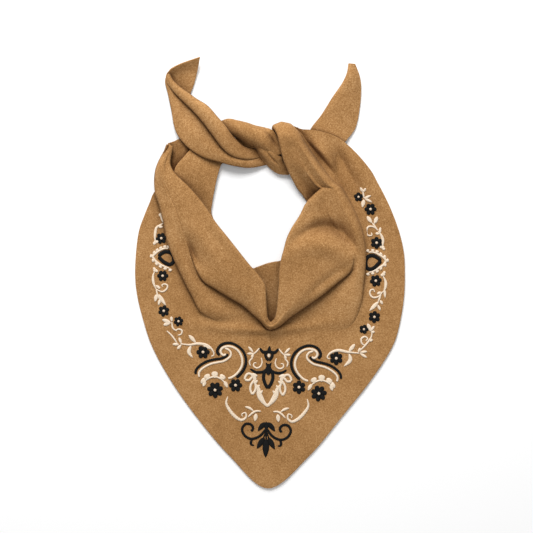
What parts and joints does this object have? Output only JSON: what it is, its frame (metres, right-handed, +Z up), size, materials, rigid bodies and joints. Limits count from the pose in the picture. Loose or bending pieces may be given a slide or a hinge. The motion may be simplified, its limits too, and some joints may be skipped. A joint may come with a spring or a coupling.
{
  "type": "embroidered neckerchief",
  "caption": "Triangular wool neckerchief lying flat with a draped V neck, knotted ties and an embroidered border.",
  "frame": {"origin": "on the table under the middle of the laid outline", "axes": "+Z up from the table, +Y from the bottom corner to the knot, +X to the wearer's left as laid face up"},
  "size_m": [0.31, 0.495, 0.0276],
  "materials": {
    "wool": "matte felted wool",
    "black_thread": "satin stitch",
    "cream_thread": "satin stitch"
  },
  "bodies": {
    "root": {"front_panel": "wool", "inner_fold": "wool", "tail_left": "wool", "tail_right": "wool", "knot_band": "wool", "knot_twist": "wool", "flower_1": "black_thread", "flower_2": "black_thread", "flower_3": "black_thread", "flower_4": "black_thread", "flower_5": "black_thread", "flower_6": "black_thread", "flower_7": "black_thread", "flower_8": "black_thread", "flower_9": "black_thread", "flower_10": "black_thread", "flower_11": "black_thread", "flower_12": "black_thread", "flower_13": "black_thread", "flower_14": "black_thread", "flower_15": "black_thread", "flower_16": "black_thread", "medallion_left": "black_thread", "medallion_right": "black_thread", "paisley_back_left": "black_thread", "paisley_back_right": "black_thread", "paisley_belly_left": "black_thread", "paisley_belly_right": "black_thread", "paisley_lining_left": "cream_thread", "paisley_lining_right": "cream_thread", "paisley_rim_left": "cream_thread", "paisley_rim_right": "cream_thread", "lotus_feather_left": "cream_thread", "lotus_feather_right": "cream_thread", "lotus_base_left": "cream_thread", "lotus_base_right": "cream_thread", "scroll_left": "black_thread", "scroll_right": "black_thread", "scroll_stem_left": "black_thread", "scroll_stem_right": "black_thread", "crown_middle": "black_thread", "crown_left": "black_thread", "crown_right": "black_thread", "ogee": "black_thread", "lotus_low_left": "cream_thread", "lotus_low_right": "cream_thread", "lotus_high_left": "cream_thread", "lotus_high_right": "cream_thread", "leaf_top": "black_thread", "leaf_bottom": "black_thread", "leaf_bottom_left": "black_thread", "leaf_bottom_right": "black_thread"}
  },
  "joints": []
}
